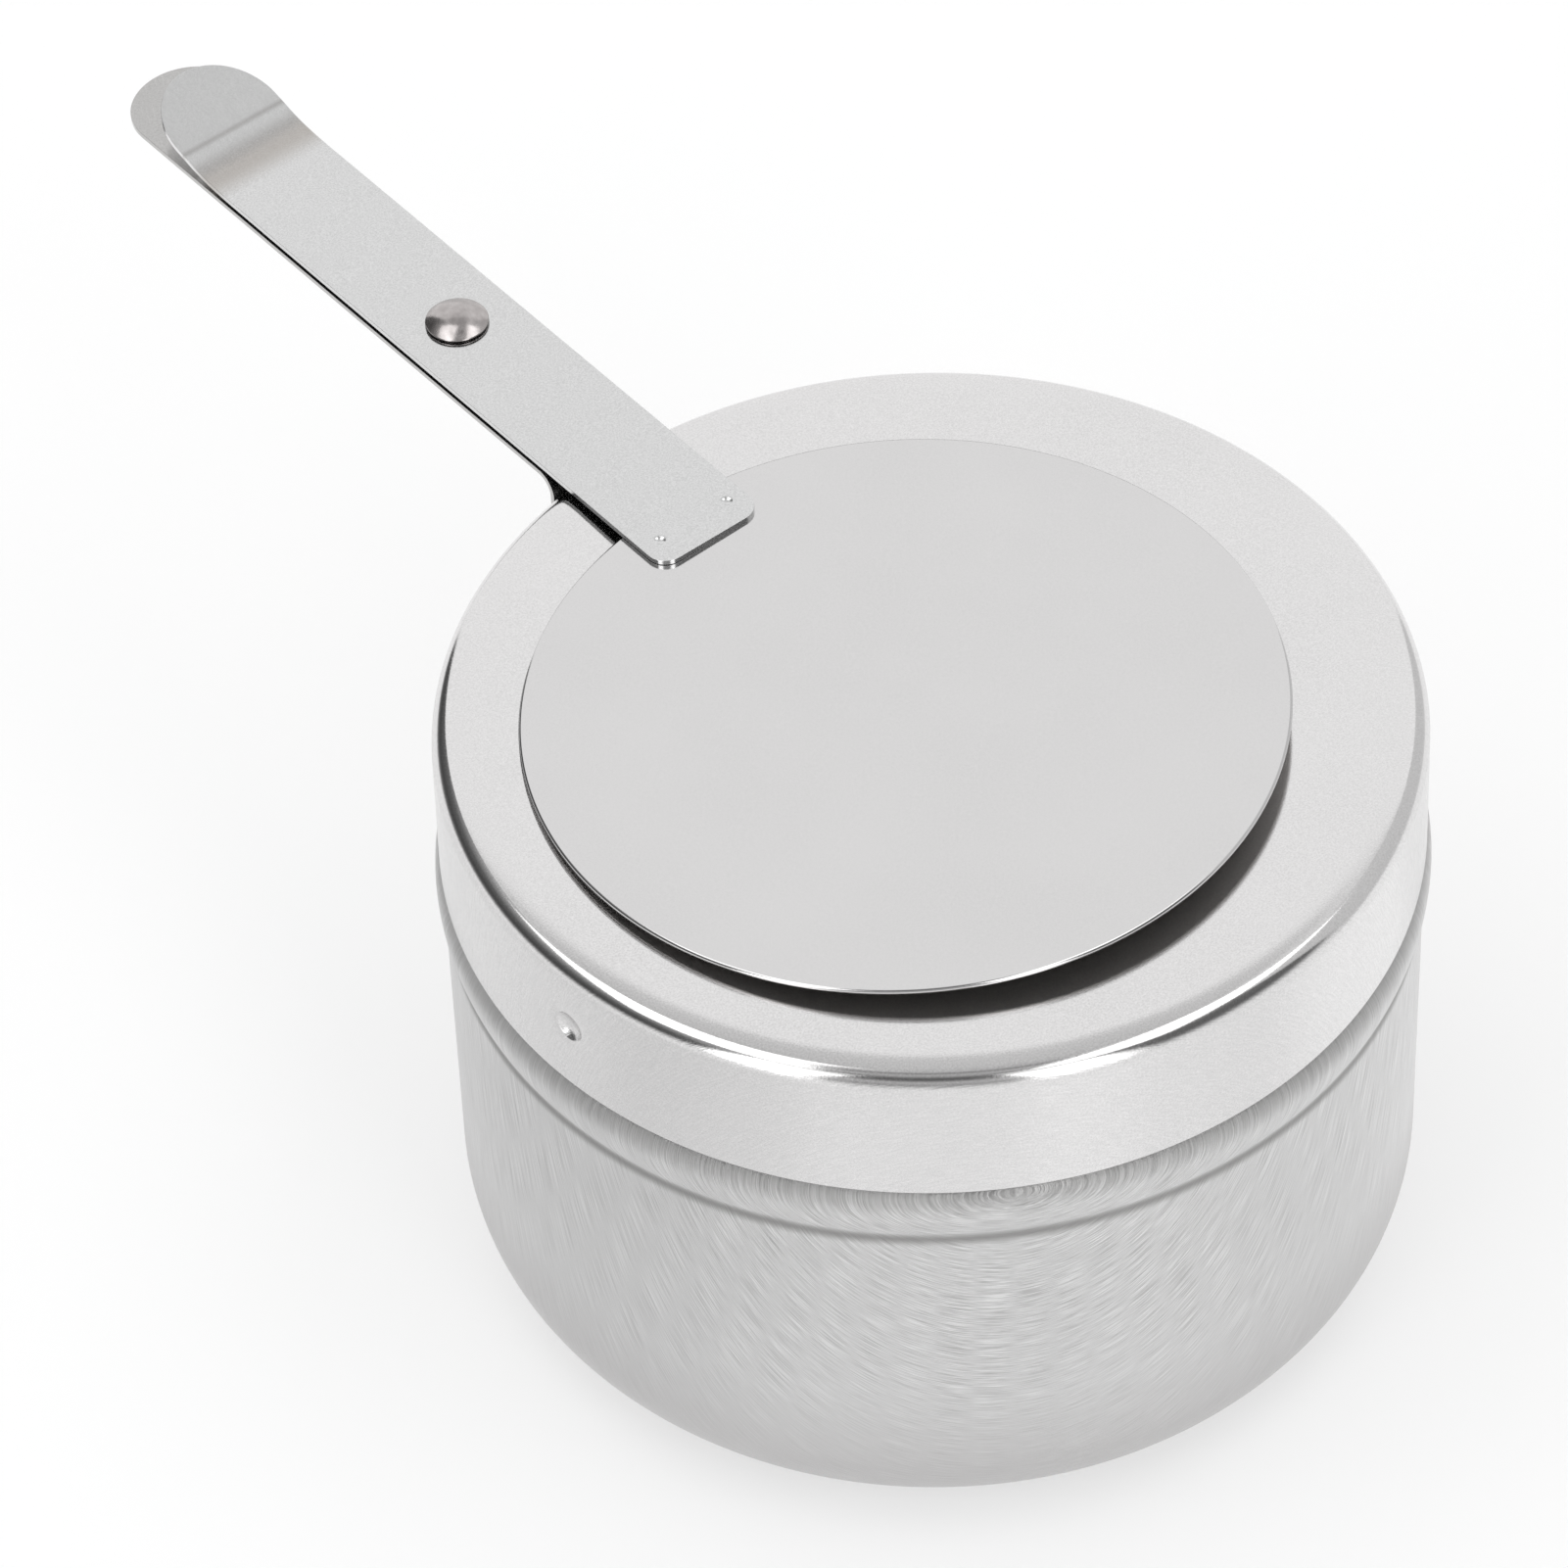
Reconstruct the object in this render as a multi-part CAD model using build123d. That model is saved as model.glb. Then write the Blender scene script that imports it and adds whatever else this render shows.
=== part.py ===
from build123d import *
from math import cos, radians, sin, sqrt, tan
import os

# Stainless burner holder: a deep-drawn pot, a ring lid with a flat handle strip, and a snuffer disc
# on an arm that swings about a rivet in the handle.
# Millimetres. The origin is the centre of the pot's base, +Z is up and the handle points along +X.
# A reach is a distance from the pot's axis along the handle.

# Sheet thickness of each piece
pot_sheet = 0.5
lid_sheet = 0.5
handle_sheet = 0.5
arm_sheet = 0.5
disc_sheet = 0.5

# Ring lid
lid_radius = 45.0
lid_top = 62.6
skirt_depth = 14.4
shoulder_radius = 1.9
opening_radius = 30.0
seat_gap = 0.05

# Dimples pressed into the skirt, which grip the pot's neck
dimple_count = 2
dimple_angle = 95.0
dimple_drop = 6.8
dimple_width = 4.0
dimple_depth = 0.45
dimple_clearance = 0.1

# Pot: tapered wall, rounded base corner, and a bead that the skirt stops above
wall_foot_radius = 44.4
wall_taper = 0.4
base_corner_radius = 11.0
bead_gap = 0.3
bead_proud = 0.45
bead_upper_height = 2.8
bead_lower_height = 3.1
bead_blend = 0.6

# Handle strip and swing arm: one width, one slope, one centre line
strip_width = 11.8
handle_offset = 2.13
handle_pitch = 1.55
handle_roll = 0.5
handle_reach = 115.2
handle_tip_length = 5.7
strip_gap = 0.5
leg_depth = 12.0
leg_bend_radius = 1.6
leg_gap = 0.05
leg_weld_drops = (5.0, 9.5)

# Swing arm: its inner end lies on the disc, and its outer end turns up as a thumb tab
arm_inner_reach = 28.65
arm_outer_reach = 110.1
arm_corner_radius = 2.0
tab_reach = 101.0
tab_bend_radius = 14.0
tab_angle = 15.1
tab_tip_length = 7.0

# Snuffer disc
disc_radius = 34.7
disc_reach = 0.4
disc_offset = 2.65
disc_rise = 1.35

# Spot welds, each a small round dent
weld_width = 1.0
weld_depth = 0.15
disc_weld_inset = 2.9
disc_weld_spread = 7.8

# Pivot rivet, and the washer between the strips
pivot_reach = 67.2
shank_radius = 1.5
pivot_clearance = 0.08
head_radius = 3.0
head_dome = 0.85
head_rim = 0.3
head_gap = 0.1
foot_radius = 2.5
foot_dome = 0.6
foot_rim = 0.3
washer_radius = 3.5
washer_clearance = 0.1

# Heights and radii that follow from the sizes above
lid_inner_radius = lid_radius - lid_sheet
skirt_edge = lid_top - skirt_depth
neck_radius = lid_inner_radius - dimple_depth - dimple_clearance
bead_top = skirt_edge - bead_gap
bead_crest = bead_top - bead_upper_height
bead_foot = bead_crest - bead_lower_height
bead_radius = lid_radius + bead_proud
wall_top_radius = wall_foot_radius + wall_taper
half_width = strip_width / 2

# The pot's rim stops just under the hollow of the lid's shoulder
hollow_radius = shoulder_radius - lid_sheet
hollow_reach = max(neck_radius - lid_radius + shoulder_radius, 0)
hollow_rise = sqrt(hollow_radius ** 2 - hollow_reach ** 2)
rim_height = lid_top - shoulder_radius + hollow_rise - seat_gap

# The disc's underside lies in a sloping plane, which also carries the arm, the rivet and the handle
level_place = Pos(disc_reach, handle_offset, lid_top + disc_rise) * Rot(-handle_roll, 0, 0)
slope_place = level_place * Rot(0, handle_pitch, 0)
arm_bottom = disc_sheet
arm_top = arm_bottom + arm_sheet
handle_top = arm_bottom - strip_gap
handle_bottom = handle_top - handle_sheet
pivot_x = pivot_reach - disc_reach
pivot_place = slope_place * Pos(pivot_x, 0, 0)
hole_radius = shank_radius + pivot_clearance


def ball_radius(width, height):
    """Radius of the ball whose cap has this width and height."""
    return (width ** 2 / 4 + height ** 2) / (2 * height)


def weld_dent():
    """Ball that presses one weld dent into the face at z = 0."""
    radius = ball_radius(weld_width, weld_depth)
    return Pos(0, 0, radius - weld_depth) * Sphere(radius)


def pot():
    """Cup of even sheet: flat base, rounded corner, tapered wall, bead, and a neck for the lid."""
    corner = (wall_foot_radius, 0)
    lower_crease = (wall_top_radius, bead_foot)
    upper_crease = (neck_radius, bead_top)
    crest = (bead_radius, bead_crest)
    with BuildPart() as cup:
        with BuildSketch(Plane.XZ):
            with BuildLine() as outside:
                Polyline((0, 0), corner, lower_crease)
                TangentArc(crest, lower_crease, tangent=(0, -1))
                TangentArc(crest, upper_crease, tangent=(0, 1))
                Line(upper_crease, (neck_radius, rim_height))
                fillet(nearest(outside, corner), radius=base_corner_radius)
                fillet([nearest(outside, spot) for spot in (lower_crease, upper_crease)], radius=bead_blend)
                offset(amount=pot_sheet, side=Side.LEFT)
            make_face()
        revolve(axis=Axis.Z)
    return cup.part


def nearest(line, spot):
    """The corner of a drawn line at this spot."""
    return line.vertices().sort_by_distance((spot[0], spot[1], 0))[0]


def lid_ring():
    """Ring lid: flat top with a round opening, rounded shoulder, straight skirt with dimples."""
    with BuildPart() as ring:
        with BuildSketch(Plane.XZ):
            with BuildLine():
                path = [(opening_radius, lid_top), (lid_radius, lid_top), (lid_radius, skirt_edge)]
                outside = FilletPolyline(*path, radius=shoulder_radius)
                offset(outside, amount=lid_sheet, side=Side.RIGHT)
            make_face()
        revolve(axis=Axis.Z)
    shell = ring.part
    ball = ball_radius(dimple_width, dimple_depth)
    dimple_height = lid_top - dimple_drop
    inside = Pos(0, 0, dimple_height) * Cylinder(lid_radius - lid_sheet / 2, 2 * dimple_width)
    for k in range(dimple_count):
        turn = Rot(0, 0, dimple_angle + k * 360 / dimple_count)
        centre = turn * Pos(lid_radius - dimple_depth + ball, 0, dimple_height)
        shell = shell + (inside & centre * Sphere(ball + lid_sheet))
        shell = shell - centre * Sphere(ball)
    return shell


def strip(path, radius, sheet, side):
    """Strip of sheet that follows a side view path, which runs in the XZ plane and bends once."""
    with BuildPart() as blank:
        with BuildSketch(Plane.XZ):
            with BuildLine():
                line = FilletPolyline(*path, radius=radius)
                offset(line, amount=sheet, side=side)
            make_face()
        extrude(amount=half_width, both=True)
    return blank.part


def strip_plan(start, end, tip_length):
    """Slab with a strip's outline from above: square at its start, half an ellipse at its end."""
    straight = end - tip_length - start
    outline = Pos(start + straight / 2, 0) * Rectangle(straight, strip_width)
    outline += Pos(start + straight, 0) * Ellipse(tip_length, half_width)
    return extrude(outline, amount=strip_width * 3, both=True)


def handle_strip():
    """Handle fixed to the lid: flat strip with a round tip, whose root turns down along the skirt."""
    pitch = radians(handle_pitch)
    leg_face = lid_radius + leg_gap - disc_reach
    leg_foot = -disc_rise - leg_depth
    bend = (handle_top - leg_face * sin(pitch)) / cos(pitch)
    tip = (Rot(0, handle_pitch, 0) * Pos(handle_reach - disc_reach, 0, handle_top)).position
    path = [(leg_face, leg_foot), (leg_face, bend), (tip.X, tip.Z)]
    solid = strip(path, leg_bend_radius + handle_sheet, handle_sheet, Side.RIGHT)
    solid = solid & strip_plan(0, tip.X, handle_tip_length)
    for drop in leg_weld_drops:
        outer_face = Pos(leg_face + handle_sheet, -handle_offset, -disc_rise - drop)
        solid -= outer_face * Rot(0, 90, 0) * weld_dent()
    solid = level_place * solid
    return solid - pivot_place * Cylinder(hole_radius, strip_width)


def swing_arm():
    """Arm over the handle: flat strip welded on the disc, with a hole for the rivet and a tab."""
    start = arm_inner_reach - disc_reach
    bend = tab_reach - disc_reach
    end = arm_outer_reach - disc_reach
    rise = (end - bend) * tan(radians(tab_angle))
    path = [(start, arm_bottom), (bend, arm_bottom), (end, arm_bottom + rise)]
    solid = strip(path, tab_bend_radius + arm_sheet, arm_sheet, Side.LEFT)
    plan = strip_plan(start, end, tab_tip_length)
    plan = fillet(plan.edges().filter_by(Axis.Z).sort_by(Axis.X)[:2], arm_corner_radius)
    solid = solid & plan
    for side in (-1, 1):
        spot = Pos(start + disc_weld_inset, side * disc_weld_spread / 2, arm_top)
        solid -= spot * weld_dent()
    solid -= Pos(pivot_x, 0, arm_bottom) * Cylinder(hole_radius, strip_width)
    return slope_place * solid


def snuffer_disc():
    """Flat disc that closes the lid's opening."""
    disc = Cylinder(disc_radius, disc_sheet, align=(Align.CENTER, Align.CENTER, Align.MIN))
    return slope_place * Pos(0, disc_offset - handle_offset, 0) * disc


def pivot_rivet():
    """Rivet with a low domed head over the arm and a set foot under the handle strip."""
    head_base = arm_top + head_gap
    head_edge = head_base + head_rim
    foot_edge = handle_bottom - foot_rim
    with BuildPart() as rivet:
        with BuildSketch(Plane.XZ):
            with BuildLine():
                TangentArc((0, foot_edge - foot_dome), (foot_radius, foot_edge), tangent=(1, 0))
                Polyline((foot_radius, foot_edge), (foot_radius, handle_bottom),
                         (shank_radius, handle_bottom), (shank_radius, head_base),
                         (head_radius, head_base), (head_radius, head_edge))
                TangentArc((0, head_edge + head_dome), (head_radius, head_edge), tangent=(1, 0))
                Line((0, head_edge + head_dome), (0, foot_edge - foot_dome))
            make_face()
        revolve(axis=Axis.Z)
    return pivot_place * rivet.part


def spacer_washer():
    """Washer that lies on the handle strip and keeps the arm clear of it."""
    height = strip_gap - washer_clearance
    washer = Cylinder(washer_radius, height, align=(Align.CENTER, Align.CENTER, Align.MIN))
    washer -= Cylinder(hole_radius, strip_width)
    return pivot_place * Pos(0, 0, handle_top) * washer


parts = {
    "pot": pot(),
    "lid_ring": lid_ring(),
    "handle_strip": handle_strip(),
    "spacer_washer": spacer_washer(),
    "pivot_rivet": pivot_rivet(),
    "swing_arm": swing_arm(),
    "snuffer_disc": snuffer_disc(),
}

os.makedirs("parts", exist_ok=True)
for name, solid in parts.items():
    export_step(solid, f"parts/{name}.step")
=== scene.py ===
import bmesh
import bpy
from math import asin, atan2, cos, degrees, hypot, pi, radians, sin, sqrt, tan
from mathutils import Matrix, Vector
from mathutils.geometry import delaunay_2d_cdt


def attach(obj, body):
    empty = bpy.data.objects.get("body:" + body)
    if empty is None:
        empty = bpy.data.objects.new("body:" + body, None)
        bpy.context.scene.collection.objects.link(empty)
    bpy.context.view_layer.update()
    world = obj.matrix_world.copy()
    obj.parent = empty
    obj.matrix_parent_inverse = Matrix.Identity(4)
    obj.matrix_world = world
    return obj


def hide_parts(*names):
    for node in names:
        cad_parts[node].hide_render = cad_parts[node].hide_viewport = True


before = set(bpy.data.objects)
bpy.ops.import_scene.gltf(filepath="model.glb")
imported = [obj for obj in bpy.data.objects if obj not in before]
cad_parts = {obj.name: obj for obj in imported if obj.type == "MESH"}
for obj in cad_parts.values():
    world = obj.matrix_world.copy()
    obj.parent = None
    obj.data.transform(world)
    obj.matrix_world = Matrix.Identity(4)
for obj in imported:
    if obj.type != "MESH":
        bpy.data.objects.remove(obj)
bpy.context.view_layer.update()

# Looks of a stainless burner holder: a pot, a ring lid with a flat handle strip, and a snuffer disc
# on an arm. Sizes are in millimetres, as in the part's source, and become metres where a mesh is made.
# Places along the strips are measured from the disc's middle, disc_reach from the pot's axis.
mm = 0.001

# Sheet, how far its cut edges are rounded, and the angles past which an edge is sharp or was cut
sheet = 0.5
cut_edge = 0.07
skirt_cut = 0.15
disc_edge = 0.22
sharp_angle = 38.0
cut_angle = 50.0

# Lid, whose top leads into its shoulder with a shallow curve
lid_radius = 45.0
lid_top = 62.6
skirt_depth = 14.6
skirt_edge = lid_top - skirt_depth
shoulder_radius = 1.9
lead_in_radius = 22.0
lead_in_angle = 5.0
opening_radius = 30.0

# Dimples in the skirt, placed by their angle round the pot: a ball's dent with a rounded rim, whose
# deepest place is below the middle. The skirt's mesh has close rows there, and what lies within
# dimple_near of its face is pressed in.
dimple_angles = (95.0, 275.0)
dimple_height = lid_top - 6.95
dimple_reach = 2.9
dimple_lean = 0.8
dimple_ball = 2.1
dimple_ball_reach = 1.6
dimple_rim_reach = 2.8
dimple_depth = 0.9
dimple_inside_share = 0.6
dimple_row = 0.1
dimple_near = 1.0

# Pot: rounded base corner, tapered wall that turns into a groove, a bead under the skirt's edge, and
# a neck inside the skirt
wall_foot_radius = 44.4
wall_top_radius = wall_foot_radius + 0.4
base_corner_radius = 11.0
bead_top = skirt_edge - 0.1
bead_crest = bead_top - 2.8
bead_foot = bead_crest - 3.1
bead_radius = lid_radius + 0.45
bead_ease = 0.6
bead_groove = 0.12
groove_run = 1.3
neck_radius = lid_radius - sheet - 0.55
neck_run = 2.0
rim_height = lid_top - 0.84

# Strips and disc, which share one sloping plane
strip_half_width = 5.9
handle_offset = 2.13
handle_pitch = 1.55
handle_roll = 0.5
disc_reach = 0.4
disc_offset = 2.65
disc_rise = 1.35
disc_radius = 34.8
disc_roll = 0.68
disc_shift = 0.1
handle_end = 115.2 - disc_reach
handle_tip_length = 5.7
leg_face = lid_radius + 0.05 - disc_reach
leg_foot = -disc_rise - 12.0
leg_bend_radius = 1.6
leg_weld_drops = (5.0, 9.5)
arm_start = 28.65 - disc_reach
arm_end = 110.1 - disc_reach
arm_corner_radius = 2.0
disc_weld_inset = 2.9
disc_weld_spread = 7.8
weld_radius = 0.62
weld_depth = 0.17
weld_rings = 5

# Thumb tab: places along the arm from the disc's middle, and the arm's tilt there in degrees, which
# changes evenly from each to the next
tab_bends = ((94.6, 0), (98.4, 5.5), (101.2, 16.6), (102.0, 13.0), (103.0, 15.1))
tab_steps = 6
tab_tip_length = 7.0

# Places of painted shade, by height or by reach from the pot's axis: on the bead under the lid's
# edge, in the groove, and at the tab's fold and its crease; and of a lighter band on the tab past it
bead_shade_height = 47.6
groove_height = 41.6
fold_reach = 98.3
fold_line_reach = 102.4
lighter_tab_reach = 106.0

# Rolling marks: the angle round the pot where they curve into a U, how much of the wall's height the
# sheet took from the blank's width, and how far they lean over for each millimetre from the U
rolled_turn = 149.7
drawn_share = 0.8
mark_lean = 0.009

# Rivet and washer, along the pivot's own axis from the disc's underside
pivot_reach = 67.2 - disc_reach
shank_radius = 1.5
hole_radius = shank_radius + 0.08
head_radius = 3.0
head_base = 2 * sheet + 0.1
head_rim = 0.3
head_dome = 0.85
foot_radius = 2.5
foot_base = -0.5
foot_rim = 0.3
foot_dome = 0.6
washer_radius = 3.5
washer_height = 0.4

# Places of the sloping pieces
level_place = Matrix.Translation((disc_reach, handle_offset, lid_top + disc_rise))
level_place = level_place @ Matrix.Rotation(radians(-handle_roll), 4, "X")
slope_place = level_place @ Matrix.Rotation(radians(handle_pitch), 4, "Y")
disc_place = slope_place @ Matrix.Rotation(radians(-disc_roll), 4, "X")
disc_place = disc_place @ Matrix.Translation((0, disc_offset - handle_offset - disc_shift, 0))
pivot_place = slope_place @ Matrix.Translation((pivot_reach, 0, 0))

# The photo's camera: its bearing round the pot, how steeply it looks down and its tilt, in degrees;
# its distance from the lid in metres; and how far the lid is right of and above the view's middle
camera_turn = -127.26
camera_pitch = 46.369
camera_tilt = -2.07
camera_distance = 0.9
lid_right_of_view = 13.145
lid_above_view = 6.563
focal_length = 229.545
sensor_width = 36.0

# The studio is laid out from the camera's side: X to its right, Y away from it, Z up, in metres from
# the middle of the lid's top. It is turned into place round the pot.
camera_side = Matrix.Translation((0, 0, lid_top * mm)) @ Matrix.Rotation(radians(camera_turn), 4, "Z")
front_boxes_aim = (0, 0, 0.43)

# Sockets of Blender's Mix node, which go by number: for numbers and for colours
number_a, number_b, number_out = 2, 3, 0
colour_a, colour_b, colour_out = 6, 7, 2


def linear(code):
    """An sRGB hex colour as linear red, green, blue and full alpha."""
    parts = [int(code[i:i + 2], 16) / 255 for i in (1, 3, 5)]
    return [c / 12.92 if c <= 0.04045 else ((c + 0.055) / 1.055) ** 2.4 for c in parts] + [1]


def add(tree, kind, links=None, inputs=None, **settings):
    """One node with its settings, its fixed inputs and the sockets that feed it."""
    node = tree.nodes.new(kind)
    for key, value in settings.items():
        setattr(node, key, value)
    for key, value in (inputs or {}).items():
        node.inputs[key].default_value = value
    for key, socket in (links or {}).items():
        tree.links.new(socket, node.inputs[key])
    return node


def bare_tree(owner):
    """The node tree of a material or world, emptied."""
    owner.use_nodes = True
    owner.node_tree.nodes.clear()
    return owner.node_tree


def new_finish(name, **shader):
    """A material with one surface shader, and the place on the piece in millimetres."""
    material = bpy.data.materials.new(name)
    tree = bare_tree(material)
    surface = add(tree, "ShaderNodeBsdfPrincipled", inputs=shader)
    add(tree, "ShaderNodeOutputMaterial", {"Surface": surface.outputs["BSDF"]})
    here = add(tree, "ShaderNodeTexCoord")
    place = add(tree, "ShaderNodeVectorMath", {0: here.outputs["Object"]},
                {1: (1 / mm, 1 / mm, 1 / mm)}, operation="MULTIPLY")
    return material, tree, surface, place.outputs["Vector"]


def drawn_blank(tree, place, foot_radius, drop):
    """Where each point of a drawn cup lay on its flat blank, so that straight rolling marks curve.

    The sheet keeps its area: the further a ring of the wall is from the cup's flat, which is its drop,
    the wider the ring of the blank that it came from."""
    flat = add(tree, "ShaderNodeVectorMath", {0: place}, {1: (1, 1, 0)}, operation="MULTIPLY")
    reach = add(tree, "ShaderNodeVectorMath", {0: flat.outputs["Vector"]}, operation="LENGTH")
    square = add(tree, "ShaderNodeMath", {0: reach.outputs["Value"], 1: reach.outputs["Value"]},
                 operation="MULTIPLY")
    area = add(tree, "ShaderNodeMath", {0: drop, 2: square.outputs["Value"]},
               {1: 2 * foot_radius * drawn_share}, operation="MULTIPLY_ADD")
    wide = add(tree, "ShaderNodeMath", {0: area.outputs["Value"]}, operation="SQRT")
    ratio = add(tree, "ShaderNodeMath", {0: wide.outputs["Value"], 1: reach.outputs["Value"]},
                operation="DIVIDE")
    blank = add(tree, "ShaderNodeVectorMath",
                {0: flat.outputs["Vector"], "Scale": ratio.outputs["Value"]}, operation="SCALE")
    return blank.outputs["Vector"]


def across_the_marks(tree, place, turn):
    """Direction on a drawn wall that crosses its rolling marks, where they spread the light."""
    facing = (cos(radians(turn)), sin(radians(turn)), 0)
    along = add(tree, "ShaderNodeVectorMath", {0: place}, {1: facing}, operation="DOT_PRODUCT")
    rise = add(tree, "ShaderNodeMath", {0: along.outputs["Value"]}, {1: mark_lean},
               operation="MULTIPLY")
    way = add(tree, "ShaderNodeCombineXYZ", {"Z": rise.outputs["Value"]},
              {"X": facing[0], "Y": facing[1]})
    return way.outputs["Vector"]


def streaks(tree, place, turn, across, along, detail=3.0, strength=1.0):
    """Noise drawn out into marks, from 0 to a strength.

    Turn is the direction across them, in degrees; across and along are a mark's width and length in
    millimetres."""
    turned = add(tree, "ShaderNodeMapping", {"Vector": place}, {"Rotation": (0, 0, radians(-turn))})
    drawn = add(tree, "ShaderNodeVectorMath", {0: turned.outputs["Vector"]},
                {1: (1 / across, 1 / along, 1 / across)}, operation="MULTIPLY")
    noise = add(tree, "ShaderNodeTexNoise", {"Vector": drawn.outputs["Vector"]},
                {"Scale": 1.0, "Detail": detail, "Roughness": 0.6})
    return add(tree, "ShaderNodeMapRange", {"Value": noise.outputs["Fac"]},
               {"From Min": 0.3, "From Max": 0.7, "To Max": strength}).outputs["Result"]


def raise_marks(tree, surface, *heights):
    """Bump from patterns, each with its height in millimetres."""
    normal = None
    for pattern, height in heights:
        links = {"Height": pattern}
        if normal:
            links["Normal"] = normal
        bump = add(tree, "ShaderNodeBump", links, {"Strength": 1.0, "Distance": height * mm})
        normal = bump.outputs["Normal"]
    tree.links.new(normal, surface.inputs["Normal"])


def vary_gloss(tree, surface, pattern, smooth, rough):
    """Roughness that goes from smooth to rough with a pattern."""
    gloss = add(tree, "ShaderNodeMapRange", {"Value": pattern}, {"To Min": smooth, "To Max": rough})
    tree.links.new(gloss.outputs["Result"], surface.inputs["Roughness"])


def lay_tones(tree, surface, ground, *coats):
    """Base colour: a ground tone, and over it tones that each lie where their own pattern is 1."""
    below = None
    for pattern, tone in coats:
        coat = add(tree, "ShaderNodeMix", {"Factor": pattern},
                   {colour_a: linear(ground), colour_b: linear(tone)}, data_type="RGBA")
        if below:
            tree.links.new(below, coat.inputs[colour_a])
        below = coat.outputs[colour_out]
    tree.links.new(below, surface.inputs["Base Color"])


def band(tree, value, middle, half_width, softness, strength=1.0):
    """The strength inside a band of a coordinate and 0 outside, with soft sides."""
    off = add(tree, "ShaderNodeMath", {0: value}, {1: middle}, operation="SUBTRACT")
    away = add(tree, "ShaderNodeMath", {0: off.outputs["Value"]}, operation="ABSOLUTE")
    return add(tree, "ShaderNodeMapRange", {"Value": away.outputs["Value"]},
               {"From Min": half_width - softness, "From Max": half_width + softness,
                "To Min": strength, "To Max": 0}, interpolation_type="SMOOTHSTEP").outputs["Result"]


def pits(tree, place, spacing, size, share):
    """Small pits, one in a share of the cells of this spacing, all in millimetres."""
    cells = add(tree, "ShaderNodeTexVoronoi", {"Vector": place}, {"Scale": 1 / spacing})
    edge = size / spacing
    spot = add(tree, "ShaderNodeMapRange", {"Value": cells.outputs["Distance"]},
               {"From Min": edge * 0.5, "From Max": edge, "To Min": 1, "To Max": 0})
    pick = add(tree, "ShaderNodeSeparateColor", {"Color": cells.outputs["Color"]})
    kept = add(tree, "ShaderNodeMath", {0: pick.outputs["Red"]}, {1: 1 - share},
               operation="GREATER_THAN")
    return add(tree, "ShaderNodeMath", {0: spot.outputs["Result"], 1: kept.outputs["Value"]},
               operation="MULTIPLY").outputs["Value"]


def brushed_drawn_stainless():
    """Pot: deep-drawn stainless, mat outside, with the sheet's rolling marks drawn into U shapes.

    The marks are a few hundredths of a millimetre wide; they are drawn about twice as coarse, as the
    eye sees them run together. Painted shade darkens a band of the bead under the lid's edge, and a
    line in the groove under it. The marks fade towards the base, where the sheet was drawn less, and
    its corner is a darker grey."""
    material, tree, surface, place = new_finish(
        "brushed_drawn_stainless", Metallic=1.0, Anisotropic=0.75)
    height = add(tree, "ShaderNodeSeparateXYZ", {0: place}).outputs["Z"]
    blank = drawn_blank(tree, place, wall_foot_radius, height)
    fine = streaks(tree, blank, rolled_turn, across=0.06, along=2.4)
    coarse = streaks(tree, blank, rolled_turn, across=0.065, along=5.0)
    cloud = streaks(tree, place, 0, across=14, along=14, detail=2.0, strength=0.5)
    clear = add(tree, "ShaderNodeMapRange", {"Value": height},
                {"From Min": 12.0, "From Max": 32.0, "To Min": 0.4}).outputs["Result"]
    marks = add(tree, "ShaderNodeMix", {"Factor": clear, number_b: coarse},
                {number_a: 0.5}).outputs[number_out]
    raise_marks(tree, surface, (marks, 0.04), (fine, 0.015))
    tree.links.new(across_the_marks(tree, place, rolled_turn), surface.inputs["Tangent"])
    vary_gloss(tree, surface, fine, smooth=0.34, rough=0.42)
    # Darker grey towards the base corner
    base_darkening = add(tree, "ShaderNodeMapRange", {"Value": height},
                  {"From Min": 9.0, "From Max": 19.0, "To Min": 0.45, "To Max": 0}).outputs["Result"]
    # Painted shade: a dark band on the bead under the lid's edge
    narrow = band(tree, height, bead_shade_height, half_width=0.9, softness=0.9, strength=0.6)
    wide = band(tree, height, bead_shade_height, half_width=1.9, softness=0.9, strength=0.6)
    painted_lid_shade = add(tree, "ShaderNodeMix",
                 {"Factor": fine, number_a: narrow, number_b: wide}).outputs[number_out]
    # Painted shade: a dark line in the groove under the bead
    groove_shade = band(tree, height, groove_height, half_width=0.55, softness=0.55, strength=0.8)
    lay_tones(tree, surface, "#a1a0a0", (marks, "#f7f7f7"), (cloud, "#d2d2d2"), (painted_lid_shade, "#8b8a89"),
              (base_darkening, "#bab8b8"), (groove_shade, "#8a8988"))
    return material


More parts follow.
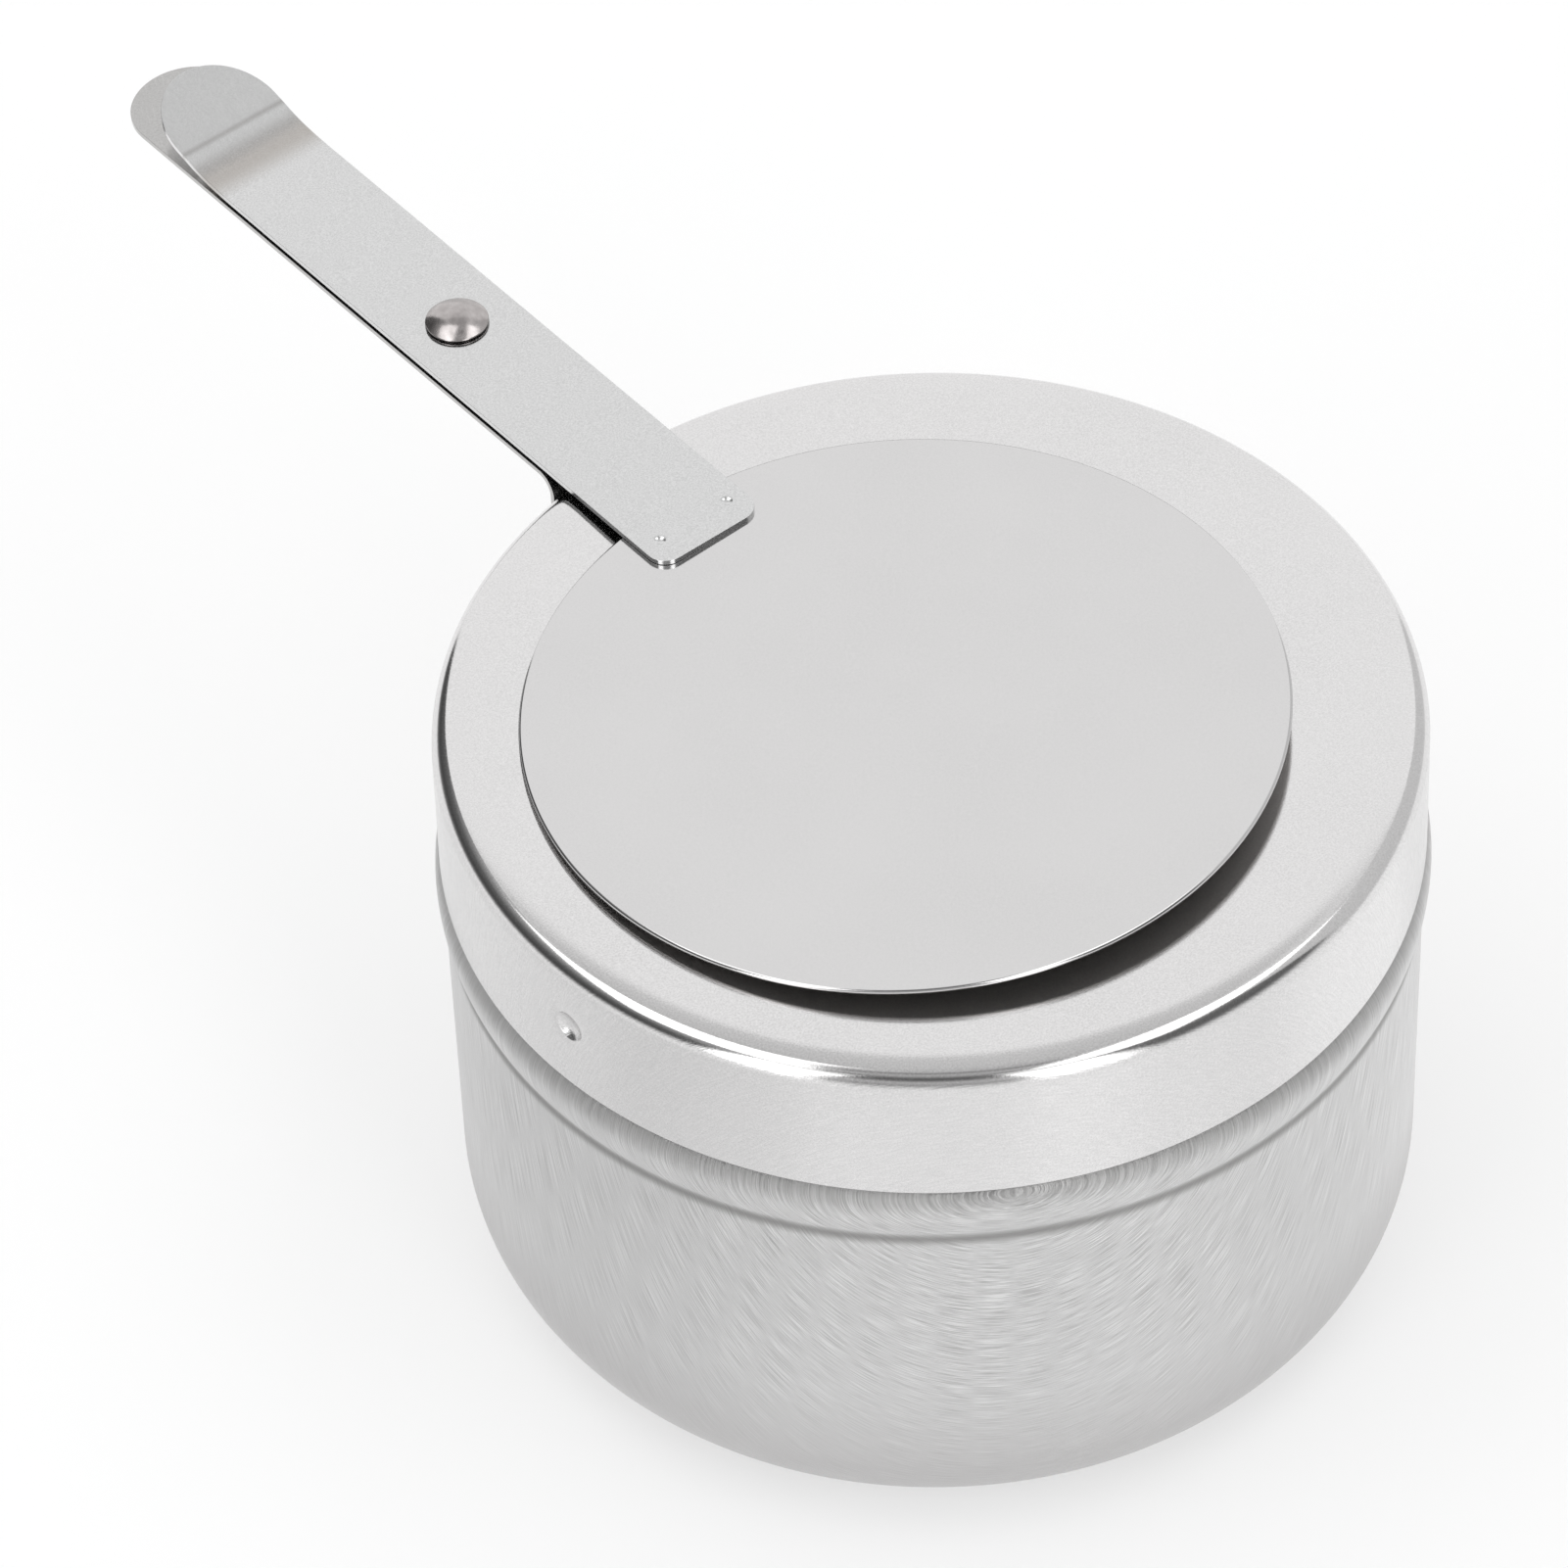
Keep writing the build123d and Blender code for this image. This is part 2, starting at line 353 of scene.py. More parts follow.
def bright_annealed_stainless():
    """Lid: bright-annealed sheet, near a mirror on top; the die dulled the skirt, whose marks stay."""
    material, tree, surface, place = new_finish("bright_annealed_stainless", Metallic=1.0)
    height = add(tree, "ShaderNodeSeparateXYZ", {0: place}).outputs["Z"]
    drop = add(tree, "ShaderNodeMath", {1: height}, {0: lid_top},
               operation="SUBTRACT").outputs["Value"]
    skirt = add(tree, "ShaderNodeMapRange", {"Value": drop},
                {"From Min": 0.6, "From Max": 1.4}).outputs["Result"]
    blank = drawn_blank(tree, place, lid_radius, drop)
    marks = streaks(tree, blank, rolled_turn, across=0.2, along=2.4)
    grain = streaks(tree, place, 0, across=0.16, along=0.2)
    cloud = streaks(tree, place, 0, across=18, along=18, detail=2.0, strength=0.35)
    drawn = add(tree, "ShaderNodeMath", {0: marks, 1: skirt}, operation="MULTIPLY").outputs["Value"]
    raise_marks(tree, surface, (drawn, 0.015), (grain, 0.001))
    bright = add(tree, "ShaderNodeMapRange", {"Value": grain}, {"To Min": 0.09, "To Max": 0.12})
    dull = add(tree, "ShaderNodeMapRange", {"Value": marks}, {"To Min": 0.2, "To Max": 0.28})
    gloss = add(tree, "ShaderNodeMix",
                {"Factor": skirt, number_a: bright.outputs["Result"], number_b: dull.outputs["Result"]})
    tree.links.new(gloss.outputs[number_out], surface.inputs["Roughness"])
    worn = add(tree, "ShaderNodeMath", {0: drawn}, {1: 0.4}, operation="MULTIPLY").outputs["Value"]
    lay_tones(tree, surface, "#d2d1d1", (grain, "#e9e8e8"), (cloud, "#e6e5e5"), (worn, "#cbcbcb"),
              (pits(tree, place, spacing=6.0, size=0.22, share=0.1), "#9a9999"))
    return material


def strip_stainless(name, dark, light, tab=False):
    """Strips: cold-rolled strip with rolling marks along its length and handling scratches.

    The handle under the arm has darker tones, as painted shade under the arm. The arm ends in a tab:
    its fold and its crease get painted shade with a warm tint, and past the fold the tab is lighter."""
    material, tree, surface, place = new_finish(name, Metallic=1.0)
    marks = streaks(tree, place, 90, across=0.3, along=9.0)
    grain = streaks(tree, place, 0, across=0.15, along=0.2)
    scratch = streaks(tree, place, 62, across=0.14, along=7.0, detail=1.0)
    raise_marks(tree, surface, (marks, 0.0012), (scratch, 0.001), (grain, 0.0016))
    vary_gloss(tree, surface, marks, smooth=0.15, rough=0.21)
    reach = add(tree, "ShaderNodeSeparateXYZ", {0: place}).outputs["X"]
    deep = add(tree, "ShaderNodeMapRange", {"Value": scratch},
               {"From Min": 0.94, "From Max": 1.0, "To Max": 0.15}).outputs["Result"]
    coats = [(grain, light), (deep, "#ececec")]
    if tab:
        # Painted shade with a warm tint at the fold and along its crease, and a lighter band past the
        # fold
        lighter_tab = band(tree, reach, lighter_tab_reach, half_width=5.5, softness=0.7, strength=0.6)
        fold = band(tree, reach, fold_reach, half_width=1.7, softness=1.6, strength=0.65)
        crease_shade = band(tree, reach, fold_line_reach, half_width=0.25, softness=0.25, strength=0.45)
        coats += [(lighter_tab, "#ebebeb"), (fold, "#aaa39c"), (crease_shade, "#a9a6a3")]
    lay_tones(tree, surface, dark, *coats)
    return material


def bright_disc_stainless():
    """Snuffer disc: bright-annealed sheet cut flat; its underside is dulled by flame and soot."""
    material, tree, surface, place = new_finish("bright_disc_stainless", Metallic=1.0)
    grain = streaks(tree, place, 0, across=0.16, along=0.2)
    cloud = streaks(tree, place, 0, across=16, along=16, detail=2.0, strength=0.35)
    raise_marks(tree, surface, (grain, 0.0006))
    facing = add(tree, "ShaderNodeSeparateXYZ",
                 {0: add(tree, "ShaderNodeNewGeometry").outputs["Normal"]})
    under = add(tree, "ShaderNodeMapRange", {"Value": facing.outputs["Z"]},
                {"From Min": -0.9, "From Max": -0.5, "To Min": 1, "To Max": 0}).outputs["Result"]
    bright = add(tree, "ShaderNodeMapRange", {"Value": grain}, {"To Min": 0.1, "To Max": 0.14})
    dull = add(tree, "ShaderNodeMapRange", {"Value": grain}, {"To Min": 0.5, "To Max": 0.6})
    gloss = add(tree, "ShaderNodeMix",
                {"Factor": under, number_a: bright.outputs["Result"], number_b: dull.outputs["Result"]})
    tree.links.new(gloss.outputs[number_out], surface.inputs["Roughness"])
    lay_tones(tree, surface, "#d3d2d2", (grain, "#d9d8d8"), (cloud, "#dddcdc"),
              (pits(tree, place, spacing=11.0, size=0.25, share=0.12), "#7d7c7c"), (under, "#c4c2c0"))
    return material


def tumbled_stainless():
    """Rivet: headed cold and tumbled, with a straw tint from the work, and painted shade on its upright
    rim faces.
    """
    material, tree, surface, place = new_finish("tumbled_stainless", Metallic=1.0)
    marks = streaks(tree, place, 30, across=0.5, along=0.9)
    stain = streaks(tree, place, 75, across=1.1, along=1.6, detail=2.0)
    raise_marks(tree, surface, (marks, 0.0025))
    vary_gloss(tree, surface, marks, smooth=0.14, rough=0.22)
    facing = add(tree, "ShaderNodeSeparateXYZ",
                 {0: add(tree, "ShaderNodeNewGeometry").outputs["Normal"]})
    # Painted shade: near black on the upright faces round the head and foot
    rim = band(tree, facing.outputs["Z"], middle=0.0, half_width=0.45, softness=0.15)
    lay_tones(tree, surface, "#a6a1a0", (stain, "#c2bdbc"), (rim, "#242221"))
    return material


def plain_stainless():
    """Washer: punched from plain mill-finish sheet, duller than the strips."""
    material, tree, surface, place = new_finish("plain_stainless", Metallic=1.0)
    marks = streaks(tree, place, 0, across=0.3, along=0.8)
    raise_marks(tree, surface, (marks, 0.002))
    vary_gloss(tree, surface, marks, smooth=0.3, rough=0.42)
    lay_tones(tree, surface, "#b4b3b2", (marks, "#c0bfbe"))
    return material


def arc(centre, radius, start, end, steps):
    """Points of an arc in a side view, with its angles in degrees from the outward direction."""
    turns = [radians(start + (end - start) * k / steps) for k in range(steps + 1)]
    return [(centre[0] + radius * cos(a), centre[1] + radius * sin(a)) for a in turns]


def circle(centre, radius, count):
    """Points of a full circle in a flat outline."""
    return arc(centre, radius, 0, 360 - 360 / count, count - 1)


def rounded(corners, radius, steps=14):
    """A side view path whose inner corners are rounded."""
    points = [corners[0]]
    for before, corner, after in zip(corners, corners[1:], corners[2:]):
        into = (Vector(corner) - Vector(before)).normalized()
        out = (Vector(after) - Vector(corner)).normalized()
        turn = atan2(into.cross(out), into.dot(out))
        side = 1 if turn > 0 else -1
        start = Vector(corner) - into * radius * tan(abs(turn) / 2)
        centre = start + Vector((-into.y, into.x)) * radius * side
        first = degrees(atan2(start.y - centre.y, start.x - centre.x))
        points += arc(centre, radius, first, first + degrees(turn), steps)
    return points + [corners[-1]]


def bead_side(end, steps=12):
    """Points of the bead's arc, which leaves the crest upright and reaches this point."""
    draw = bead_radius - end[0]
    drop = end[1] - bead_crest
    radius = (draw ** 2 + drop ** 2) / (2 * draw)
    sweep = degrees(asin(drop / radius))
    return arc((bead_radius - radius, bead_crest), radius, 0, sweep, steps)


def eased(points, spot, reach, steps=6):
    """A side view path with the crease at one spot softened."""
    near = [i for i, p in enumerate(points) if hypot(p[0] - spot[0], p[1] - spot[1]) < reach]
    start, end = Vector(spot), Vector(spot)
    start = start + (Vector(points[near[0] - 1]) - start).normalized() * reach
    end = end + (Vector(points[near[-1] + 1]) - end).normalized() * reach
    curve = []
    for k in range(steps + 1):
        t = k / steps
        curve.append(tuple(start * (1 - t) ** 2 + Vector(spot) * 2 * t * (1 - t) + end * t ** 2))
    return points[:near[0]] + curve + points[near[-1] + 1:]


def sheet_section(outside, thickness):
    """Closed section of a sheet from its outside path, with the metal on the path's left."""
    inside = []
    for i, point in enumerate(outside):
        before = Vector(outside[max(i - 1, 0)])
        after = Vector(outside[min(i + 1, len(outside) - 1)])
        run = (after - before).normalized()
        inside.append((point[0] - run.y * thickness, point[1] + run.x * thickness))
    if outside[0][0] == 0:
        inside[0] = (0, inside[0][1])
    return list(outside) + inside[::-1]


def even_turns(count):
    """Angles of a full turn in equal steps."""
    return [2 * pi * k / count for k in range(count)]


def dimple_turns():
    """Angles of a full turn, a degree apart and much closer at the dimples."""
    turns = []
    fine, step = 4.0, 0.125
    for centre in dimple_angles:
        turns += [centre - fine + step * k for k in range(round(2 * fine / step) + 1)]
        turns += [centre + fine + k for k in range(1, int(180 - 2 * fine))]
    return sorted(radians(a % 360) for a in turns)


def as_object(mesh, name):
    """An object in the scene, which takes over a mesh."""
    data = bpy.data.meshes.new(name)
    mesh.to_mesh(data)
    mesh.free()
    thing = bpy.data.objects.new(name, data)
    bpy.context.scene.collection.objects.link(thing)
    return thing


def finished(mesh, name, place, material, edge=cut_edge):
    """The piece as an object: placed, shaded smooth and with its cut edges a little rounded."""
    bmesh.ops.scale(mesh, vec=(mm, mm, mm), verts=mesh.verts)
    place = place.copy()
    place.translation = place.translation * mm
    bmesh.ops.transform(mesh, matrix=place, verts=mesh.verts)
    bmesh.ops.recalc_face_normals(mesh, faces=mesh.faces)
    piece = as_object(mesh, name)
    for face in piece.data.polygons:
        face.use_smooth = True
    piece.data.set_sharp_from_angle(angle=radians(sharp_angle))
    piece.data.materials.append(material)
    soften = piece.modifiers.new("cut edges", "BEVEL")
    soften.width = edge * mm
    soften.segments = 2
    soften.limit_method = "ANGLE"
    soften.angle_limit = radians(cut_angle)
    level = piece.modifiers.new("flat faces", "WEIGHTED_NORMAL")
    level.keep_sharp = True
    return piece


def lathe(section, turns):
    """A round solid from its closed section."""
    mesh = bmesh.new()
    rings = []
    for radius, height in section:
        if radius < 1e-6:
            rings.append([mesh.verts.new((0, 0, height))] * len(turns))
        else:
            rings.append([mesh.verts.new((radius * cos(a), radius * sin(a), height)) for a in turns])
    for ring, following in zip(rings, rings[1:] + rings[:1]):
        for k in range(len(turns)):
            after = (k + 1) % len(turns)
            corners = dict.fromkeys([ring[k], ring[after], following[after], following[k]])
            if len(corners) > 2:
                mesh.faces.new(list(corners))
    return mesh


def pot_cup():
    """Pot: flat base, rounded corner, tapered wall, bead and neck."""
    wall_top = (wall_top_radius, bead_foot)
    run_in = (wall_top_radius, bead_foot - groove_run)
    crease = (wall_top_radius - bead_groove, bead_foot)
    ledge = (neck_radius, bead_top)
    outside = rounded([(0, 0), (wall_foot_radius, 0), wall_top], base_corner_radius, steps=24)
    outside[-1:] = [run_in] + bead_side(crease)[::-1]
    outside += bead_side(ledge)[1:] + [(neck_radius, bead_top + neck_run), (neck_radius, rim_height)]
    for spot in (run_in, crease, ledge):
        outside = eased(outside, spot, bead_ease)
    mesh = lathe(sheet_section(outside, sheet), even_turns(360))
    return finished(mesh, "pot_cup", Matrix(), brushed_drawn_stainless())


def dimple_sink(offset):
    """How deep a dimple is at an offset from its middle: a ball's dent, then its rounded rim.

    The dent's level lines are circles that slide down towards its deepest place."""
    slide = Vector((0, 0, -dimple_lean))
    spread = dimple_rim_reach ** 2 - dimple_lean ** 2
    away = offset - slide
    along = away.dot(slide)
    root = sqrt(along ** 2 + spread * away.length_squared)
    distance = (along + root) / spread * dimple_rim_reach
    if distance < dimple_ball_reach:
        return dimple_depth - dimple_ball + sqrt(dimple_ball ** 2 - distance ** 2)
    left = dimple_depth - dimple_ball + sqrt(dimple_ball ** 2 - dimple_ball_reach ** 2)
    share = (distance - dimple_ball_reach) / (dimple_rim_reach - dimple_ball_reach)
    return left * (1 - share) ** 2 if share < 1 else 0


def lid_cap():
    """Ring lid: flat top, rounded shoulder and skirt, with its dimples pressed in."""
    drop = (lead_in_radius - shoulder_radius) * (1 - cos(radians(lead_in_angle)))
    middle = (lid_radius - shoulder_radius, lid_top - shoulder_radius - drop)
    inward = (lead_in_radius - shoulder_radius) * sin(radians(lead_in_angle))
    lead_in = (middle[0] - inward, lid_top - lead_in_radius)
    outside = [(lid_radius, skirt_edge)]
    outside += arc(middle, shoulder_radius, 0, 90 - lead_in_angle, steps=18)
    outside += arc(lead_in, lead_in_radius, 90 - lead_in_angle, 90, steps=6)[1:]
    outside.append((opening_radius, lid_top))
    rows = int(2 * dimple_reach / dimple_row)
    low = dimple_height - dimple_reach
    outside[1:1] = [(lid_radius, low + 2 * dimple_reach * k / rows) for k in range(rows + 1)]
    mesh = lathe(sheet_section(outside, sheet), dimple_turns())
    for angle in dimple_angles:
        facing = Vector((cos(radians(angle)), sin(radians(angle)), 0))
        centre = facing * lid_radius + Vector((0, 0, dimple_height))
        for corner in mesh.verts:
            if lid_radius - corner.co.dot(facing) < dimple_near:
                offset = corner.co - centre
                sink = dimple_sink(offset - facing * offset.dot(facing))
                inner = hypot(corner.co.x, corner.co.y) < lid_radius - sheet / 2
                corner.co -= facing * sink * (dimple_inside_share if inner else 1)
    return finished(mesh, "lid_cap", Matrix(), bright_annealed_stainless(), skirt_cut)


def blank_outline(length, tip_length, corner_radius):
    """Flat outline of a strip from 0: rounded corners at its start, half an ellipse at its end."""
    w, r = strip_half_width, corner_radius
    points = [(0, w), (0, -w)]
    if corner_radius:
        points = arc((r, w - r), r, 90, 180, steps=8) + arc((r, r - w), r, 180, 270, steps=8)
    tip = arc((0, 0), 1, -90, 90, steps=40)
    return points + [(length - tip_length + tip_length * x, w * y) for x, y in tip]


def folded(path, run, depth):
    """The point at a distance along a side view path, and below its surface by a depth."""
    left = run
    for a, b in zip(path, path[1:]):
        a, b = Vector(a), Vector(b)
        length = (b - a).length
        if left <= length or b == Vector(path[-1]):
            break
        left -= length
    way = (b - a) / length
    return a + way * left + Vector((way.y, -way.x)) * depth


def path_lengths(path):
    """Distance of each point of a path from its start."""
    total, lengths = 0, [0]
    for a, b in zip(path, path[1:]):
        total += hypot(b[0] - a[0], b[1] - a[1])
        lengths.append(total)
    return lengths


def cut_blank(outline, hole_run, dents, bend_runs):
    """A strip's flat blank, as points and faces: rings at its hole and welds, a line at each bend."""
    loops = [outline, circle((hole_run, 0), hole_radius, 48)]
    for centre in dents:
        loops += [circle(centre, weld_radius * k / weld_rings, 24) for k in range(1, weld_rings + 2)]
    points, edges = [], []
    for loop in loops:
        first = len(points)
        points += loop
        edges += [(first + k, first + (k + 1) % len(loop)) for k in range(len(loop))]
    for run in bend_runs:
        edges.append((len(points), len(points) + 1))
        points += [(run, -strip_half_width - 1), (run, strip_half_width + 1)]
    flat, _, faces = delaunay_2d_cdt([Vector(p) for p in points], edges, [], 0, 1e-5)[:3]
    kept = []
    for face in faces:
        middle = sum((flat[i] for i in face), Vector((0, 0))) / len(face)
        in_hole = (middle - Vector((hole_run, 0))).length < hole_radius
        if not in_hole and inside_outline(middle, outline):
            kept.append(face)
    return flat, kept


def strip_mesh(path, tip_length, corner_radius, hole_run, dents, dents_on_top):
    """A strip cut from flat sheet and folded along a side view path of its top face."""
    runs = path_lengths(path)
    outline = blank_outline(runs[-1], tip_length, corner_radius)
    flat, faces = cut_blank(outline, hole_run, dents, runs[1:-1])
    mesh = bmesh.new()
    layers = []
    for depth in (0, sheet):
        layer = []
        for point in flat:
            sink = 0
            if dents_on_top == (depth == 0):
                share = min((point - Vector(centre)).length for centre in dents) / weld_radius
                sink = weld_sink(share, dents_on_top)
            x, z = folded(path, min(max(point.x, 0), runs[-1]), depth + sink)
            layer.append(mesh.verts.new((x, point.y, z)))
        layers.append(layer)
    for face in faces:
        mesh.faces.new([layers[0][i] for i in face])
        mesh.faces.new([layers[1][i] for i in reversed(face)])
    below = dict(zip(*layers))
    for edge in [e for e in mesh.edges if e.is_boundary]:
        a, b = edge.verts
        if a in below and b in below:
            mesh.faces.new([a, b, below[b], below[a]])
    loose = [v for v in mesh.verts if not v.link_faces]
    bmesh.ops.delete(mesh, geom=loose, context="VERTS")
    return mesh


def weld_sink(share, on_top):
    """How far a spot weld presses the sheet down, or up from below, at a share of its radius."""
    sink = weld_depth * (1 - share ** 2) if share < 1 else 0
    return sink if on_top else -sink


def inside_outline(point, outline):
    """True if a flat point lies inside an outline, counted by the edges above it."""
    inside = False
    for (ax, ay), (bx, by) in zip(outline, outline[1:] + outline[:1]):
        if (ay > point.y) != (by > point.y):
            inside ^= point.x < ax + (point.y - ay) / (by - ay) * (bx - ax)
    return inside


def handle_strip():
    """Handle: flat strip with a round tip, bent down at its root and welded to the skirt."""
    pitch = radians(handle_pitch)
    bend = -leg_face * tan(pitch)
    end = (handle_end * cos(pitch), -handle_end * sin(pitch))
    path = rounded([(leg_face, leg_foot), (leg_face, bend), end], leg_bend_radius + sheet)
    runs = path_lengths(path)
    hole_run = runs[-1] - (handle_end - pivot_reach)
    dents = [(-leg_foot - drop - disc_rise, 0) for drop in leg_weld_drops]
    mesh = strip_mesh(path, handle_tip_length, 0, hole_run, dents, False)
    # Darker tones than the arm's: painted shade under the arm
    dulled = strip_stainless("shaded_strip_stainless", dark="#b4b3b2", light="#c4c3c2")
    return finished(mesh, "handle_blade", level_place, dulled)


def swing_arm():
    """Arm: flat strip with a rounded square end on the disc and its outer end turned up."""
    path = [(arm_start, 2 * sheet), (tab_bends[0][0], 2 * sheet)]
    for (reach, tilt), (next_reach, next_tilt) in zip(tab_bends, tab_bends[1:]):
        step = (next_reach - reach) / tab_steps
        for k in range(tab_steps):
            slope = tan(radians(tilt + (next_tilt - tilt) * (k + 0.5) / tab_steps))
            path.append((path[-1][0] + step, path[-1][1] + step * slope))
    left = arm_end - path[-1][0]
    path.append((arm_end, path[-1][1] + left * tan(radians(tab_bends[-1][1]))))
    dents = [(disc_weld_inset, side * disc_weld_spread / 2) for side in (-1, 1)]
    mesh = strip_mesh(path, tab_tip_length, arm_corner_radius, pivot_reach - arm_start, dents, True)
    bright = strip_stainless("bright_strip_stainless", dark="#cacaca", light="#e1e1e1", tab=True)
    return finished(mesh, "swing_arm_blade", slope_place, bright)


def snuffer_plate():
    """Snuffer disc: a flat round plate with blanked edges."""
    section = [(0, 0), (disc_radius, 0), (disc_radius, sheet), (0, sheet)]
    plate = lathe(section, even_turns(360))
    return finished(plate, "snuffer_plate", disc_place, bright_disc_stainless(), disc_edge)


def dome(base, edge_radius, height, steps=14):
    """Points of a low dome from its edge to its top."""
    radius = (edge_radius ** 2 + height ** 2) / (2 * height)
    reach = degrees(asin(edge_radius / radius))
    points = arc((0, base + height - radius), radius, 90 - reach, 90, steps)
    return points[:-1] + [(0, base + height)]


def rivet():
    """Rivet: shank, low domed head over the arm, and set foot under the handle."""
    section = dome(head_base + head_rim, head_radius, head_dome)
    section += [(r, foot_base - foot_rim - z) for r, z in dome(0, foot_radius, foot_dome)[::-1]]
    section += [(foot_radius, foot_base), (shank_radius, foot_base)]
    section += [(shank_radius, head_base), (head_radius, head_base)]
    return finished(lathe(section, even_turns(96)), "rivet_pin", pivot_place, tumbled_stainless())


def washer():
    """Washer that lies on the handle round the rivet."""
    section = [(hole_radius, 0), (washer_radius, 0)]
    section += [(washer_radius, washer_height), (hole_radius, washer_height)]
    return finished(lathe(section, even_turns(72)), "washer_ring", pivot_place, plain_stainless())


pieces = [
    (pot_cup(), "pot", "pot", "brushed_pot"),
    (lid_cap(), "lid", "lid_ring", "bright_lid"),
    (handle_strip(), "lid", "handle_strip", "bright_strip"),
    (washer(), "lid", "spacer_washer", "plain_washer"),
    (rivet(), "lid", "pivot_rivet", "polished_rivet"),
    (swing_arm(), "snuffer", "swing_arm", "bright_strip"),
    (snuffer_plate(), "snuffer", "snuffer_disc", "bright_lid"),
]
for piece, body, node, finish in pieces:
    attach(piece, body)
    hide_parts(node)


def where_seen(tree):
    """1 for what the camera, a mirror or a glass sees, and 0 for the light that falls on things."""
    path = add(tree, "ShaderNodeLightPath")
    seen = path.outputs["Is Camera Ray"]
    for kind in ("Is Glossy Ray", "Is Transmission Ray"):
        most = add(tree, "ShaderNodeMath", {0: seen, 1: path.outputs[kind]}, operation="MAXIMUM")
        seen = most.outputs["Value"]
    return seen


def pale_floor():
    """Floor: a wide pale table, which keeps the object's soft shadow."""
    mesh = bmesh.new()
    bmesh.ops.create_grid(mesh, x_segments=8, y_segments=8, size=4.0)
    floor = as_object(mesh, "floor")
    material = bpy.data.materials.new("pale_table")
    tree = bare_tree(material)
    matt = add(tree, "ShaderNodeBsdfDiffuse", inputs={"Color": linear("#f8f8f8")})
    white = add(tree, "ShaderNodeEmission", inputs={"Color": linear("#ffffff"), "Strength": 1.0})
    half = add(tree, "ShaderNodeMath", {0: where_seen(tree)}, {1: 0.5}, operation="MULTIPLY")
    mixed = add(tree, "ShaderNodeMixShader",
                {"Fac": half.outputs["Value"], 1: matt.outputs["BSDF"], 2: white.outputs["Emission"]})
    add(tree, "ShaderNodeOutputMaterial", {"Surface": mixed.outputs["Shader"]})
    floor.data.materials.append(material)


def white_surroundings():
    """World: white where it is seen or mirrored, and a plain level of light on the object."""
    world = bpy.data.worlds.new("studio")
    bpy.context.scene.world = world
    tree = bare_tree(world)
    strength = add(tree, "ShaderNodeMapRange", {"Value": where_seen(tree)},
                   {"To Min": 0.8, "To Max": 1.0})
    light = add(tree, "ShaderNodeBackground", {"Strength": strength.outputs["Result"]},
                {"Color": linear("#ffffff")})
    add(tree, "ShaderNodeOutputWorld", {"Surface": light.outputs["Background"]})


def soft_box(name, middle, facing, width, height, brightness, turn=0):
    """A soft box that faces a point; brightness is what its face shows, 1 being white."""
    lamp = bpy.data.lights.new(name, "AREA")
    lamp.shape = "RECTANGLE"
    lamp.size, lamp.size_y = width, height
    lamp.energy = brightness * pi * width * height
    light = bpy.data.objects.new(name, lamp)
    bpy.context.scene.collection.objects.link(light)
    look = (Vector(facing) - Vector(middle)).to_track_quat("-Z", "Y").to_matrix().to_4x4()
    look = look @ Matrix.Rotation(radians(turn), 4, "Z")
    light.matrix_world = camera_side @ Matrix.Translation(middle) @ look
    light.visible_camera = False


def card(name, rows, tones, strength=1.0):
    """A card from rows of points in the studio, seen only in metal.

    Each row has a tone, which fades to the next row's."""
    mesh = bmesh.new()
    shade = mesh.verts.layers.float_color.new("tone")
    grid = []
    for row, tone in zip(rows, tones):
        grid.append([mesh.verts.new(point) for point in row])
        for corner in grid[-1]:
            corner[shade] = linear(tone)
    for low, high in zip(grid, grid[1:]):
        for j in range(len(low) - 1):
            mesh.faces.new([low[j], low[j + 1], high[j + 1], high[j]])
    hung = as_object(mesh, name)
    hung.matrix_world = camera_side
    material = bpy.data.materials.new(name)
    tree = bare_tree(material)
    tone = add(tree, "ShaderNodeAttribute", attribute_name="tone")
    glow = add(tree, "ShaderNodeEmission", {"Color": tone.outputs["Color"]}, {"Strength": strength})
    add(tree, "ShaderNodeOutputMaterial", {"Surface": glow.outputs["Emission"]})
    hung.data.materials.append(material)
    hung.visible_camera = False
    hung.visible_diffuse = False
    hung.visible_shadow = False
    hung.visible_transmission = False


def ceiling(sides, ends, height=3.0):
    """Rows of a level card overhead, from its left side to its right, each at its distance away."""
    return [[(x, y, height) for x in sides] for y in ends]


def table_shine(bearings, near=0.055, far=0.5, lift=0.0002):
    """Rows of a card that lies on the table round the pot, one row out along each bearing."""
    turns = [radians(bearing) for bearing in bearings]
    table = lift - lid_top * mm
    return [[(reach * cos(a), reach * sin(a), table) for reach in (near, far)] for a in turns]


def surround(bearings, heights, steps=12, distance=1.35):
    """Rows of a curved card round the object, between two bearings, each from one height to another.

    Both are in degrees. Bearings run from the camera's right, anticlockwise from above."""
    rows = []
    for start, end in heights:
        row = []
        for j in range(steps + 1):
            turn = radians(bearings[0] + (bearings[1] - bearings[0]) * j / steps)
            lift = radians(start + (end - start) * j / steps)
            out = distance * cos(lift)
            row.append((out * cos(turn), out * sin(turn), distance * sin(lift)))
        rows.append(row)
    return rows


